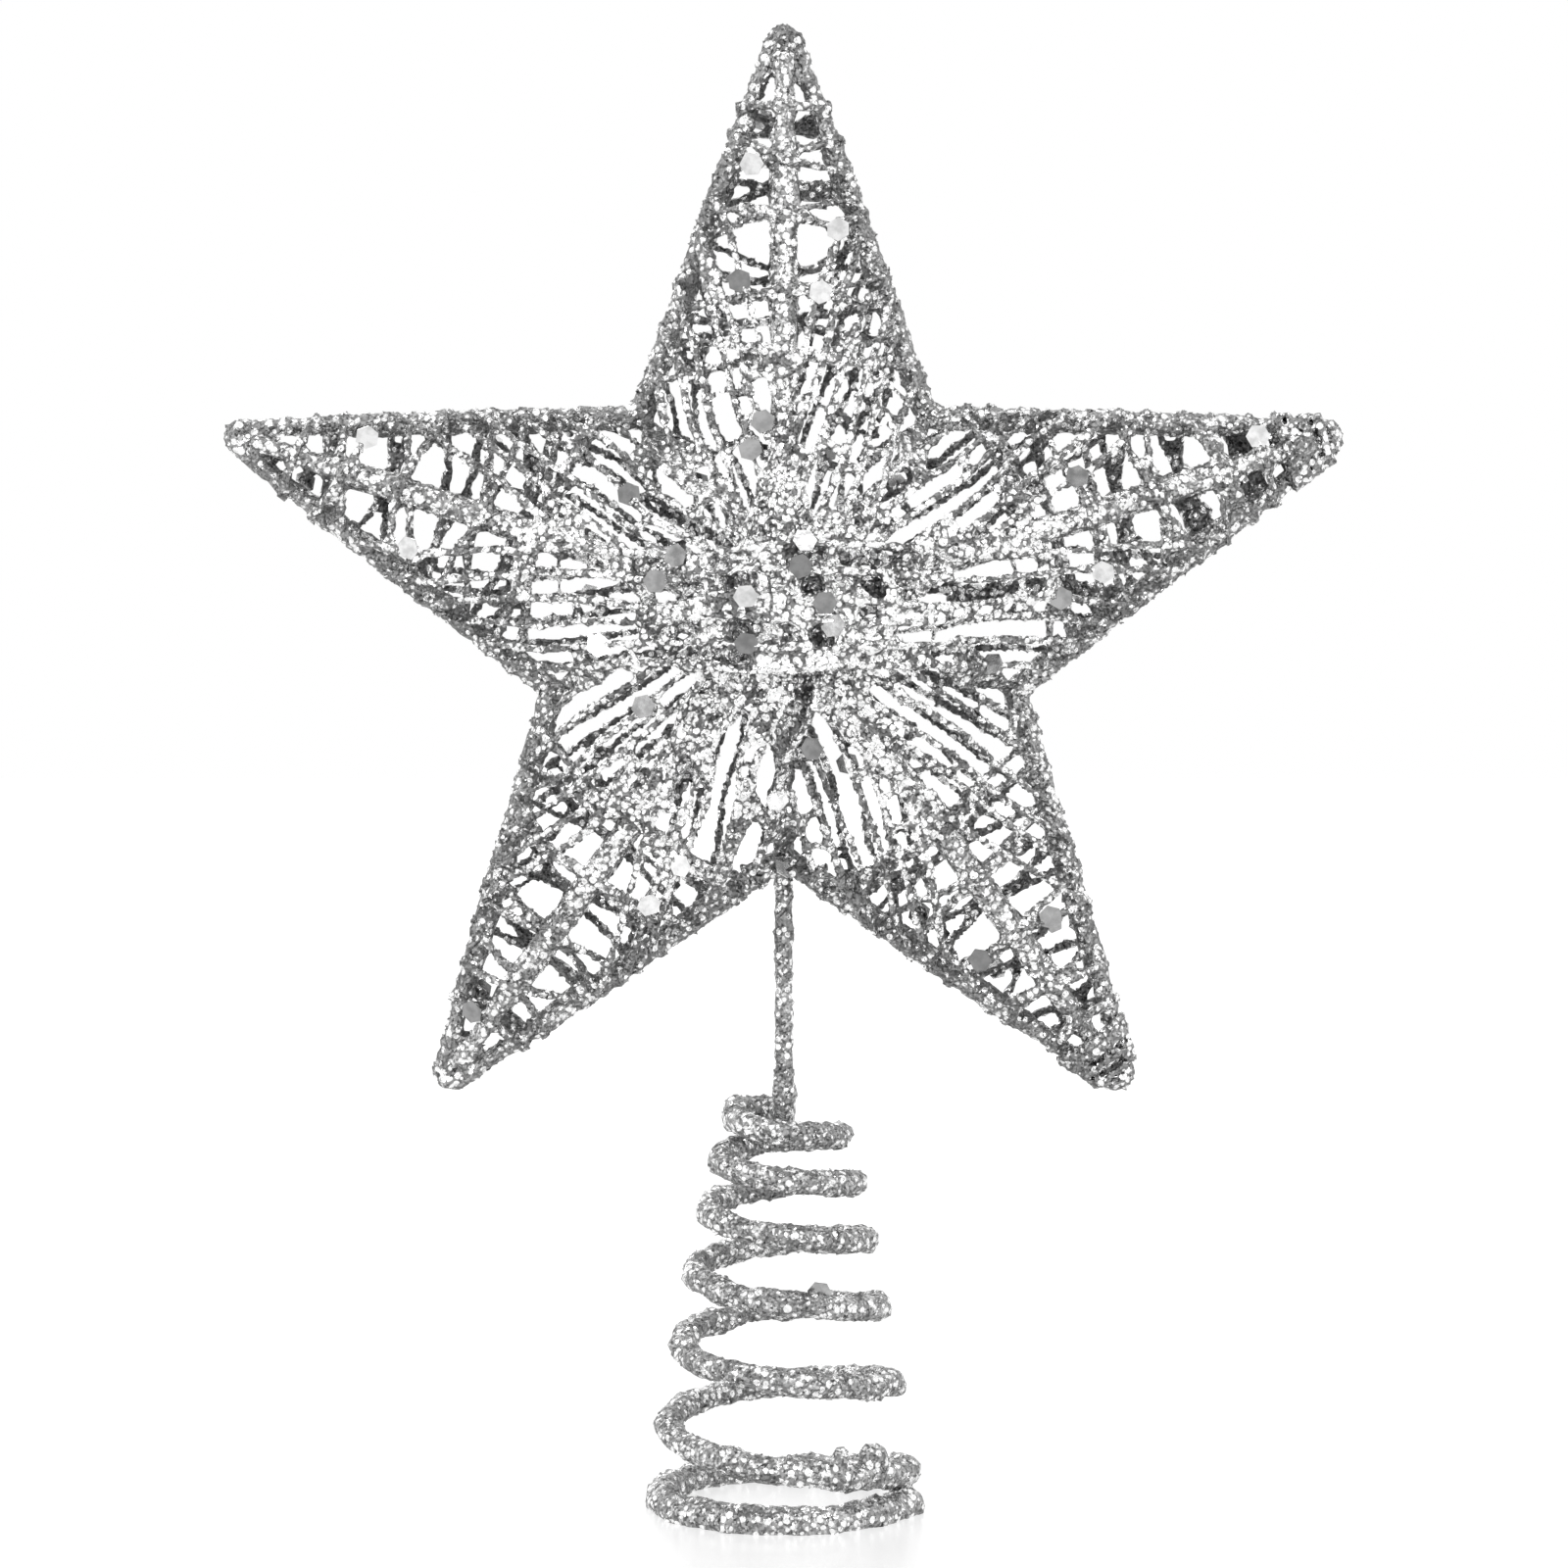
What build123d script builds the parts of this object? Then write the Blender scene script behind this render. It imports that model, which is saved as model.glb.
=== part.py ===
from build123d import *

import math
import os

import numpy as np

# Christmas tree topper: a five-pointed wire star wound with thin cord, on a conical coil that grips the treetop.
# The frame is +Z up with the star's front towards -Y. The origin is on the coil's axis, on the surface that the
# coil stands on. Sizes are in millimetres and angles in degrees.

# Star frame
tip_radius = 100.0  # star centre to the sharp corner of the outline at a tip
notch_radius = 40.5  # star centre to the sharp corner of the outline at a notch
half_depth = 20.0  # middle plane to the point where the ridge wires meet, in front and behind
star_centre_height = 150.0  # above the surface that the coil stands on
wire_diameter = 2.8  # outline and ridge wires, with their coat
tip_bend_radius = 1.8
notch_bend_radius = 3.0
wire_sides = 8

# Wound cord
strand_diameter = 1.3
strand_sides = 5
strand_gap = 0.6  # between two turns of cord
seat_gap = 0.12  # between a wire and what is wound on it, tied to it or butted against it
first_slot = 17.0  # from the tip along an edge to the first turn of an arm's winding
last_slot_setback = 6.3  # from the notch along an edge to the last turn of an arm's winding
arm_loops = 5  # turns from the notches to the tip, and one fewer back
cross_loops = 6  # turns from one arm to the next but one
cross_first_slot = 5
binding_arms = ("right", "lower_right")  # arms with cord bound round the tip too
binding_loops = 4
binding_setback = 6.6  # from the tip along an edge to the binding's first turn
binding_pitch = 2.3
wander = 0.2  # how far a turn strays from its slot, either way, as a share of the slots' spacing
lashing_loops = 2
lashing_setback = 3.0  # from the notch along an edge to the lashing's nearest turn
lashing_pitch = 3.7
drape_step = 1.0  # spacing of the points at which a taut run is tested
drape_slack = 0.15  # how far a run may stray from those points

# Stem and coil
stem_diameter = 2.8
stem_reach = 29.0  # how far the stem runs into the star, past the bottom notch
coil_wire_diameter = 3.8
coil_wire_sides = 8
coil_steps = 24  # straight stretches in a full turn of the coil or of its lead
stem_bend_radius = 3.6
coil_top_height = 62.5  # wire centre where the first full turn starts
coil_top_radius = 9.3  # wire centre, at that place
coil_foot_radius = 20.6  # wire centre of the turn that the coil stands on
coil_turns = 5  # from there to the foot
top_pitch = 7.0
foot_rise = 4.7  # how far the coil's last turn starts above the foot's own level
foot_settle = 0.28  # turns in which it comes down to that level
foot_flat = coil_wire_diameter / 10  # depth of the flat that the foot stands on
foot_end_angle = 336.0  # the foot turn stops short of a full turn

# Sequins
sequin_width = 3.8  # across its corners
sequin_thickness = 0.2
sequin_gap = 0.05  # between a sequin and the cord that it sits on
sequin_stretch = 7.0  # sequins sit on straight stretches of cord longer than this
sequin_every = 7  # on one such stretch in so many

FRONT, BACK = -1, 1
ARM_NAMES = ("top", "right", "lower_right", "lower_left", "left")
ARM_COUNT = len(ARM_NAMES)
ARM_ANGLE = 360 / ARM_COUNT

strand_radius = strand_diameter / 2
wire_radius = wire_diameter / 2
coil_wire_radius = coil_wire_diameter / 2

os.makedirs("parts", exist_ok=True)


def save(part, label):
    """Names a finished piece and writes it."""
    part.label = label
    export_step(part, f"parts/{label}.step")


def around_centre(radius, angle, depth=0.0):
    """A point at a radius and an angle from the star's centre, clockwise from the top."""
    turned = math.radians(angle)
    return np.array([radius * math.sin(turned), depth, star_centre_height + radius * math.cos(turned)])


def tip(arm):
    return around_centre(tip_radius, arm * ARM_ANGLE)


def notch(arm, turn):
    """The notch on one side of an arm: turn is 1 for the clockwise side and -1 for the other."""
    return around_centre(notch_radius, (arm + turn / 2) * ARM_ANGLE)


def apex(side):
    return around_centre(0.0, 0.0, side * half_depth)


def unit(vector):
    return vector / np.linalg.norm(vector)


# What is already in place: (start, end, radius, gap) of each straight stretch and of the room that cord leaves it
laid = []


def lay(points, radius, gap):
    laid.extend((start, end, radius, gap) for start, end in zip(points, points[1:]))


def needed_rise(places, side, own_radius, most_gap=math.inf):
    """How far from the middle plane a thing of own_radius has to be, at each (x, z) place, to clear what is laid."""
    facing = np.array([1.0, side, 1.0])
    starts = np.array([stretch[0] for stretch in laid]) * facing
    ends = np.array([stretch[1] for stretch in laid]) * facing
    reach = np.array([radius + own_radius + min(gap, most_gap) for _, _, radius, gap in laid])
    lengths = np.linalg.norm(ends - starts, axis=1)
    along = (ends - starts) / lengths[:, None]
    # Distance from the line, squared, is level * rise**2 + slope * rise + rest, with rise counted from its start
    away = places[:, None, :] - starts[None, :, [0, 2]]
    forward = (away * along[None, :, [0, 2]]).sum(axis=2)
    level = 1 - along[:, 1] ** 2
    slope = -2 * forward * along[:, 1]
    rest = (away**2).sum(axis=2) - forward**2 - reach**2
    under_root = slope**2 - 4 * level * rest
    rise = (np.sqrt(np.maximum(under_root, 0)) - slope) / (2 * level)
    station = forward + rise * along[:, 1]
    met = (under_root > 0) & (station > -reach / 2) & (station < lengths + reach / 2)
    return np.where(met, rise + starts[:, 1], -np.inf).max(axis=1)


def steepness(spot, next_spot):
    return (next_spot[1] - spot[1]) / (next_spot[0] - spot[0])


def thinned(spots):
    """The spots that a run needs to stay within drape_slack of them all."""
    slope = steepness(spots[0], spots[-1])
    over = [rise - spots[0][1] - slope * (share - spots[0][0]) for share, rise in spots]
    worst = int(np.argmax(over))
    if over[worst] < drape_slack:
        return [spots[0], spots[-1]]
    return thinned(spots[: worst + 1])[:-1] + thinned(spots[worst:])


def taut_run(start, end, side):
    """The inner points of a strand pulled tight from start to end over what is laid on one side."""
    count = max(2, math.ceil(np.linalg.norm(end - start) / drape_step))
    share = np.linspace(0, 1, count + 1)
    places = start[[0, 2]] + share[:, None] * (end - start)[[0, 2]]
    rises = needed_rise(places, side, strand_radius)
    rises[[0, -1]] = side * start[1], side * end[1]
    tight = []
    for spot in zip(share, rises):
        if np.isfinite(spot[1]):
            while len(tight) > 1 and steepness(tight[-2], tight[-1]) <= steepness(tight[-1], spot):
                tight.pop()
            tight.append(spot)
    bends = thinned(tight)[1:-1]
    return [(start + s * (end - start)) * [1, 0, 1] + [0, side * rise, 0] for s, rise in bends]


def wrap(station, side):
    """The points that lead a strand round the outline wire, from one side of the star to the other."""
    arm, turn, distance, outward = station
    edge = unit(notch(arm, turn) - tip(arm))
    across = outward * turn * np.array([edge[2], 0.0, -edge[0]]) * -1
    centre = tip(arm) + distance * edge
    half_step = math.radians(20)
    radius = (wire_radius + strand_radius + seat_gap) / math.cos(half_step)
    steps = (2 * half_step, 0, -2 * half_step)
    return [centre + radius * (math.cos(a) * across + side * math.sin(a) * np.array([0, 1, 0])) for a in steps]


def wind(stations):
    """The route of one strand, led round the outline at each station, in front and behind by turns."""
    side = FRONT
    hook = wrap(stations[0], BACK)
    route = list(hook)
    for station in stations[1:]:
        next_hook = wrap(station, side)
        run = taut_run(hook[-1], next_hook[0], side)
        lay([*hook, *run, next_hook[0]], strand_radius, strand_gap)
        route += run + next_hook
        hook = next_hook
        side = -side
    lay(hook, strand_radius, strand_gap)
    return route


def least_gap(route, diameter):
    """The least distance between two turns of a cord, measured on points along it."""
    spots = []
    for start, end in zip(route, route[1:]):
        count = max(1, round(np.linalg.norm(end - start) / (diameter / 3)))
        spots += [start + (end - start) * i / count for i in range(count)]
    spots = np.array(spots)
    travelled = np.concatenate([[0], np.cumsum(np.linalg.norm(np.diff(spots, axis=0), axis=1))])
    least = math.inf
    for spot, place in zip(spots, travelled):
        other = np.abs(travelled - place) > 4 * diameter
        if other.any():
            least = min(least, np.linalg.norm(spots[other] - spot, axis=1).min())
    return least - diameter


edge_length = np.linalg.norm(tip(0) - notch(0, 1))
slot_count = 4 * (arm_loops - 1)
slot_pitch = (edge_length - first_slot - last_slot_setback) / slot_count


def slot(number, seed):
    """How far from the tip, along an edge, cord is led round the outline, with a steady unevenness."""
    return first_slot + slot_pitch * (number + wander * math.sin(2.4 * seed))


# Outline wire, one loop bent at the tips and the notches
corners = []
for arm in range(ARM_COUNT):
    corners += [tip(arm), notch(arm, 1)]
with BuildPart() as outline_wire:
    with BuildLine():
        bends = [tip_bend_radius, notch_bend_radius] * ARM_COUNT
        outline_route = FilletPolyline(*[tuple(corner) for corner in corners], radius=bends, close=True)
    with BuildSketch(Plane(outline_route @ 0, z_dir=outline_route % 0)):
        RegularPolygon(wire_radius, wire_sides)
    sweep()
save(outline_wire.part, "outline_wire")
lay([*corners, corners[0]], wire_radius, seat_gap)

# Ridge wires, from each tip to the middle of the front and of the back, set back so that their ends just meet
ridge = unit(apex(FRONT) - tip(0))
edge_turn = math.acos(ridge @ unit(notch(0, 1) - tip(0)))
ridge_turn = math.acos(ridge @ unit(apex(FRONT) - tip(1)))
tip_setback = (wire_diameter + seat_gap) / (2 * math.sin(edge_turn / 2))
apex_setback = (wire_diameter + seat_gap) / (2 * math.sin(ridge_turn / 2))
for side, side_name in ((FRONT, "front"), (BACK, "back")):
    for arm, arm_name in enumerate(ARM_NAMES):
        direction = unit(apex(side) - tip(arm))
        start = tip(arm) + tip_setback * direction
        end = apex(side) - apex_setback * direction
        with BuildPart() as ridge_wire:
            with BuildSketch(Plane(tuple(start), z_dir=tuple(direction))):
                RegularPolygon(wire_radius, wire_sides)
            extrude(amount=np.linalg.norm(end - start))
        save(ridge_wire.part, f"{side_name}_ridge_wire_{arm_name}")
        lay([start, end], wire_radius, seat_gap)

# Stem, which passes behind the outline at the bottom notch and runs up inside the star
stem_depth = (wire_diameter + stem_diameter) / 2 + seat_gap
coil_start_height = coil_top_height + top_pitch / 2 + stem_bend_radius + coil_wire_diameter
stem_foot = np.array([0.0, stem_depth, coil_start_height])
stem_head = np.array([0.0, stem_depth, star_centre_height - notch_radius + stem_reach])
with BuildPart() as stem_wire:
    with BuildSketch(Plane(tuple(stem_foot))):
        Circle(stem_diameter / 2)
    extrude(amount=stem_head[2] - stem_foot[2])
    chamfer(stem_wire.faces().sort_by(Axis.Z)[-1].edges(), stem_diameter / 6)
save(stem_wire.part, "stem_wire")
lay([stem_foot, stem_head], stem_diameter / 2, seat_gap)

# Lashing, which ties the stem into the bottom notch
lashing_stations = []
for loop in range(lashing_loops):
    distance = edge_length - lashing_setback - loop * lashing_pitch
    lashing_stations += [(3, -1, distance, -1), (2, 1, distance, -1)]

# Arm windings, each aslant from the notches to the tip and back over itself, the other way round on every second arm
arm_stations = {}
for arm, arm_name in enumerate(ARM_NAMES):
    outward_slots = [(number, max(number - 2, 0)) for number in range(slot_count, -1, -4)]
    return_slots = [(number, number + 2) for number in range(2, slot_count, 4)]
    first_turn = 1 if arm % 2 else -1
    stations = []
    for near_slot, far_slot in outward_slots + return_slots:
        stations.append((arm, first_turn, slot(near_slot, len(stations) + 7 * arm), 1))
        stations.append((arm, -first_turn, slot(far_slot, len(stations) + 7 * arm), 1))
    arm_stations[arm_name] = stations

# Cross windings, each from one arm over the star's middle to the next arm but one
cross_stations = {}
for arm, arm_name in enumerate(ARM_NAMES):
    far_arm = (arm + 2) % ARM_COUNT
    stations = []
    for loop in range(cross_loops):
        number = cross_first_slot + 2 * loop
        stations.append((arm, -1, slot(number, loop + arm), 1))
        stations.append((far_arm, 1, slot(number, loop + arm + 3), 1))
    cross_stations[f"{arm_name}_to_{ARM_NAMES[far_arm]}"] = stations

# Bindings, tight turns round all four wires at two of the tips
binding_stations = {}
for arm_name in binding_arms:
    stations = []
    for loop in range(binding_loops):
        for turn in (-1, 1):
            stations.append((ARM_NAMES.index(arm_name), turn, binding_setback + loop * binding_pitch, 1))
    binding_stations[arm_name] = stations

winding_stations = {"stem_lashing": lashing_stations}
winding_stations |= {f"tip_binding_{name}": stations for name, stations in binding_stations.items()}
winding_stations |= {f"arm_winding_{name}": stations for name, stations in arm_stations.items()}
winding_stations |= {f"cross_winding_{name}": stations for name, stations in cross_stations.items()}
routes = {}
for name, stations in winding_stations.items():
    route = wind(stations)
    routes[name] = route
    with BuildPart() as winding:
        with BuildLine():
            Polyline(*[tuple(point) for point in route])
        with BuildSketch(Plane(tuple(route[0]), z_dir=tuple(route[1] - route[0]))):
            RegularPolygon(strand_radius, strand_sides)
        sweep(transition=Transition.RIGHT, clean=False)
    save(winding.part, name)
    print(name, "points", len(route), "least gap to itself", round(least_gap(route, strand_diameter), 2))

# Sequins, flat on the cord in front and behind
for side, side_name in ((FRONT, "front"), (BACK, "back")):
    stretches = []
    for route in routes.values():
        for start, end in zip(route, route[1:]):
            if np.linalg.norm(end - start) > sequin_stretch and side * (start + end)[1] > 0:
                stretches.append((start + end) / 2)
    seats = []
    for centre in stretches[::sequin_every]:
        if all(np.linalg.norm((centre - seat)[[0, 2]]) > 1.1 * sequin_width for seat in seats):
            turned = [math.radians(30 * corner) for corner in range(12)]
            rim = [[math.cos(a) * sequin_width / 2, math.sin(a) * sequin_width / 2] for a in turned]
            places = centre[[0, 2]] + np.array([[0, 0], *rim])
            rise = needed_rise(places, side, sequin_thickness / 2, sequin_gap).max()
            seats.append(np.array([centre[0], side * rise, centre[2]]))
    with BuildPart() as sequins:
        for number, seat in enumerate(seats):
            with BuildSketch(Plane(tuple(seat), x_dir=(1, 0, 0), z_dir=(0, side, 0))):
                RegularPolygon(sequin_width / 2, 6, rotation=17 * number)
            extrude(amount=sequin_thickness / 2, both=True)
    save(sequins.part, f"{side_name}_sequins")
    print(side_name, "sequins", len(seats))

# Coil, a left-hand cone of wire that widens downwards from the stem, and the turn that it stands on
foot_height = coil_wire_radius - foot_flat
foot_pitch = 2 * (coil_top_height - foot_height - foot_rise) / coil_turns - top_pitch


def coil_point(turn):
    """The wire's centre after so many turns, counted from the right-hand end of the first full turn."""
    if turn < coil_turns:
        radius = coil_top_radius + (coil_foot_radius - coil_top_radius) * turn / coil_turns
        height = coil_top_height - top_pitch * turn - (foot_pitch - top_pitch) * turn**2 / (2 * coil_turns)
    else:
        radius = coil_foot_radius
        left = max(0.0, 1 - (turn - coil_turns) / foot_settle)
        height = foot_height + foot_rise * left**2
    angle = 2 * math.pi * turn
    return np.array([radius * math.cos(angle), radius * math.sin(angle), height])


down = np.array([0.0, 0.0, -1.0])
back_way = np.array([0.0, 1.0, 0.0])
left_way = np.array([-1.0, 0.0, 0.0])


def arc(centre, start_arm, end_arm, turned):
    """Points on an arc about centre, from the end of start_arm towards that of end_arm, without the first."""
    count = round(coil_steps * turned / 360)
    angles = [math.radians(turned * step / count) for step in range(1, count + 1)]
    return [centre + math.cos(a) * start_arm + math.sin(a) * end_arm for a in angles]


lead_end = -0.5  # the turn at which the lead from the stem runs into the coil
last_turn = coil_turns + foot_end_angle / 360
turn_count = math.ceil(coil_steps * (last_turn - lead_end))
turns = [lead_end + (last_turn - lead_end) * step / turn_count for step in range(turn_count + 1)]
bend_start = stem_foot + coil_wire_diameter * down
bend_centre = bend_start + stem_bend_radius * back_way
lead_radius = -coil_point(lead_end)[0] / 2
lead_centre = bend_centre + stem_bend_radius * down + lead_radius * left_way
spring_route = [stem_foot, bend_start]
spring_route += arc(bend_centre, -stem_bend_radius * back_way, stem_bend_radius * down, 90)
spring_route += arc(lead_centre, -lead_radius * left_way, lead_radius * back_way, 180)
spring_route += [coil_point(turn) for turn in turns]
spring_route.append(spring_route[-1] + coil_wire_diameter * unit(spring_route[-1] - spring_route[-2]))

with BuildPart() as coil_spring:
    with BuildLine():
        Polyline(*[tuple(point) for point in spring_route])
    with BuildSketch(Plane(tuple(stem_foot), z_dir=tuple(down))):
        RegularPolygon(coil_wire_radius, coil_wire_sides)
    sweep(transition=Transition.RIGHT, clean=False)
    with BuildSketch():
        Circle(2 * coil_foot_radius)
    extrude(amount=-coil_wire_diameter, mode=Mode.SUBTRACT, clean=False)
save(coil_spring.part, "coil_spring")
print("coil_spring least gap to itself", round(least_gap(spring_route, coil_wire_diameter), 2))
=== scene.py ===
"""Looks of the glitter star tree topper: each wire and cord gets a coat of silver flakes.

Lengths are in metres, +Z up, with the star's front towards -Y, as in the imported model.
"""

import math

import bmesh
import bpy
import numpy as np
from mathutils import Euler, Matrix, Vector
from mathutils.bvhtree import BVHTree
from mathutils.kdtree import KDTree


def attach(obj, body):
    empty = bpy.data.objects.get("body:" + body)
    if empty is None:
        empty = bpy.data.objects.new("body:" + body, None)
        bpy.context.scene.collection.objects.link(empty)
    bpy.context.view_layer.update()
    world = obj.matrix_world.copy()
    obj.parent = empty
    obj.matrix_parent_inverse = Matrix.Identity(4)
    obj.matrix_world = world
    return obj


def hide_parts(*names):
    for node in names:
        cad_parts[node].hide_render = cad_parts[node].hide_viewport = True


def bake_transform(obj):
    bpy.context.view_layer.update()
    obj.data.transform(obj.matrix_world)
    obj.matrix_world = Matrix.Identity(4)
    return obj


MM = 0.001

ARMS = ("top", "right", "lower_right", "lower_left", "left")
ARM_TURN = 360 / len(ARMS)  # degrees from one arm to the next
STAR_HEIGHT = 150 * MM  # of the star's middle, above the floor

# Coat of flakes on each kind of piece: how far it stands off the CAD solid, and the width of its facets
CORD_GROWTH = 0.13 * MM
CROSS_GROWTH = 0.08 * MM  # on the long runs from arm to arm, which carry less glue
CORD_FACET = 0.64 * MM
WIRE_GROWTH = 0.12 * MM
WIRE_FACET = 0.66 * MM
COIL_GROWTH = 0.30 * MM
COIL_FACET = 0.74 * MM
FACET_JITTER = 0.22  # how far a facet's corner strays, as a share of the facet's width
FLAKE_SHARE = 0.12  # share of the corners where a flake stands up
FLAKE_HEIGHTS = (0.08 * MM, 0.30 * MM)
MOST_SHELL = 1.6  # limit on how much further than its growth a sharp corner is pushed
SMALLEST_ISLAND = 150  # corners; a loose bit of a skin with fewer is deleted
LUMP_WIDTH = 3.2 * MM
LUMP_HEIGHT = 0.16 * MM  # how far the coat swells and shrinks along a wire
COIL_LUMP_WIDTH = 7 * MM
COIL_LUMP_HEIGHT = 0.26 * MM
PLANE_WAVES = 7  # added up into one unevenness
USUAL_PEAK = 1.5  # of their sum, as a multiple of its spread
WELD = 0.001 * MM  # corners of a CAD mesh that are closer than this are one

# Hand-wound cord: its bends slide along the wires, its runs bow, and it is drawn in to a wire
BEND_LENGTH = 2.5 * MM  # the longest edge within one bend of a CAD strand
ARM_SLIDE = 1.3 * MM
CROSS_SLIDE = 2.5 * MM
UNEVEN = 0.6  # how much the thickness of a run of cord differs, as a share of its coat
SWAY_WIDTH = 19 * MM
SWAY = 0.70 * MM
WIRE_REACH = 6 * MM  # within this of a wire, a bend counts as lying on it
PRESS = 0.45  # share of its height over a wire that pressed cord keeps
PRESS_REACH = 3.2 * MM
MOST_PROUD = 0.9 * MM  # how far a bend of cord stands out over a ridge
OUTLINE_PROUD = 0.3 * MM  # how far it stands out past the outline's own coat
COAT_SHARE = 0.97  # share of the outline's coat that its flakes don't stand out of
PROUD_KEPT = 0.2  # share of what is over that which stays
RIDGE_REACH = 9 * MM
RIDGE_FADE = 5 * MM
EDGE_ENDS = 5 * MM  # at a tip or a notch, where the outline's edge isn't measured
EDGE_REACH = 6 * MM  # cord further out than this belongs to the next arm

# Extra coat between the turns of cord, from the bare tips inwards
BED_GROWTH = 0.52 * MM
RIDGE_BED_GROWTH = 0.70 * MM
BARE_TIP = 15 * MM
BED_START = 8 * MM

# Glue and flakes that close narrow gaps, most of all round the middle
WEB_REACH = 0.12 * MM  # half of the widest gap that is closed
MIDDLE_REACH = 0.60 * MM  # added to that at the star's middle
MIDDLE_SPREAD = 30 * MM  # how far from the middle that reaches
RIGHT_REACH = 0.55 * MM  # added to it on the right arm, which has the thickest coat
RIGHT_START = 50 * MM  # from the middle out to where that begins
RIGHT_SPREAD = 25 * MM
WEB_DEPTH = 0.12 * MM  # how far the webs lie below the cord's own coat
WEB_FACET = 0.80 * MM
THINNEST_WEB = 0.2  # share of the unshrunk thickness that stays at least
SKIN_STEP = 0.01 * MM  # below a skin, where the search for its other side starts
BURIED = 0.04 * MM  # from this far under the cords' own coats, a web has wider facets
WEB_KEPT = 0.36  # share of the webs' facets that stays
BRIDGES = 820  # short bridges of glue between neighbouring runs of cord
BRIDGE_RADII = (0.45 * MM, 1.05 * MM)
BRIDGE_LENGTHS = (0.8 * MM, 5.0 * MM)
BRIDGE_SPREAD = 46 * MM  # from the star's middle
BRIDGE_STRAY = 0.45  # how far a bridge slants, as a share of its length
ROD_SIDES = 8
FANS = 12  # strings of glue that spread from each notch
FAN_RADII = (0.6 * MM, 1.0 * MM)
FAN_LENGTHS = (5 * MM, 13 * MM)  # seen from the front
FAN_SPREAD = math.radians(34)  # to each side of the line to the star's middle
NOTCH_REACH = 0.45 * MM  # added to the webs' reach in the notches
NOTCH_SPREAD = 11 * MM

# Flakes in the material
GRAIN_WIDTH = 0.40 * MM
FLAKE_SPACING = 1.15 * MM
FLAKE_RADII = (0.28, 0.62)  # of a bright flake, as shares of the flakes' spacing
FLAKE_RIM = 0.03  # half the width of its soft rim, as such a share
PATCH_WIDTH = 8 * MM  # patches with more bright flakes, or fewer
PATCH_RANGE = (0.3, 0.7)  # of the noise that lays them out
PATCH_SWING = 0.25  # how many more or fewer they have, as a share of all flakes
PATCH_TONES = [(0.30, 0.72), (0.70, 1.0)]
GRAIN_TILT = 0.8
GRAIN_ROUGHNESS = 0.42
FLAKE_ROUGHNESS = 0.20
GRAIN_TONES = [(0.0, 0.17), (0.35, 0.27), (0.70, 0.40), (1.0, 0.60)]
COIL_TONES = [(0.0, 0.16), (0.35, 0.30), (0.70, 0.47), (1.0, 0.76)]
# The ridges' tones are brighter than the other wires': a painted highlight along the ridges
RIDGE_HIGHLIGHT_TONES = [(0.0, 0.18), (0.35, 0.32), (0.70, 0.52), (1.0, 0.84)]
HOLLOW = 5 * MM  # from the star's middle plane to where its faces are wholly in front or behind
TURNED_RANGE = (-0.7, 0.2)  # from a face turned wholly in to one turned out
INNER_SHADE = 0.68  # brightness of the faces turned in to the hollow: painted shade, as the net in front of them shades them
# Painted highlight on the star's raised middle, towards its peaks front and back
PEAK_START = 4 * MM  # from the middle plane, where bright flakes begin to lie thicker
PEAK_END = 19 * MM
PEAK_HIGHLIGHT_SHARE = 1.8  # times as many bright flakes there
PEAK_WIDTH = 0.40  # how much wider each is for each time as many
PEAK_SHADE = 0.26  # how much darker the grains between them are, as part of the painted highlight

# The coil: lumps of glue at pixels of the picture, with their radii, and a slimmer end at the stem
COIL_LUMPS = [
    ((857, 1480), 1.9 * MM),
    ((897, 1480), 2.1 * MM),
    ((762, 1225), 1.4 * MM),
    ((745, 1490), 1.5 * MM),
]
COIL_SPREAD = 50 * MM  # how far the coil reaches towards the camera, at most
SIGHT_STEPS = 80  # places that are tried along a line of sight
FOOT_GROWTH = 0.70 * MM  # extra coat on the turn that it stands on
FOOT_HEIGHT = 14 * MM
LEAD_LENGTH = 9 * MM
LEAD_TAPER = 0.26

# Sequins
COIL_SEQUIN = (836, 1308)  # pixel of the picture, at the top of the coil's fourth turn
SEQUIN_LIFT = 0.40 * MM  # off the coat
SEQUIN_TILT = math.radians(30)
SEQUIN_WIDTH = 4.1 * MM  # across its corners
SEQUIN_THICKNESS = 0.16 * MM
SEQUIN_SIDES = 6
SEQUIN_TONES = [(0.0, 0.26), (0.2, 0.36), (0.55, 0.48), (0.7, 0.85), (1.0, 1.0)]
COIL_SEQUIN_TONES = [(0.0, 0.56), (1.0, 0.62)]
FILM_WAVES = 600.0  # to a metre
FILM_STAINS = [(0.35, 0.75), (0.60, 1.0)]
FILM_BUMP = 0.15
FILM_DEPTH = 0.2 * MM
FILM_ROUGHNESS = (0.10, 0.30)

# Camera, taken from the photograph: level with the star's middle, and turned down a little
CAMERA_DISTANCE = 675 * MM
LENS = 92.7
SENSOR = 36.0
HORIZON_OFFSET = 173  # pixels from the image's centre up to the star's middle
IMAGE_SIZE = 1600
FOCAL_PIXELS = LENS / SENSOR * IMAGE_SIZE
CAMERA_PLACE = (0, -CAMERA_DISTANCE, STAR_HEIGHT)
CAMERA_TURN = Euler((math.radians(90) - math.atan(HORIZON_OFFSET / FOCAL_PIXELS), 0, 0)).to_matrix()
CLIP_START = 0.01

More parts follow.
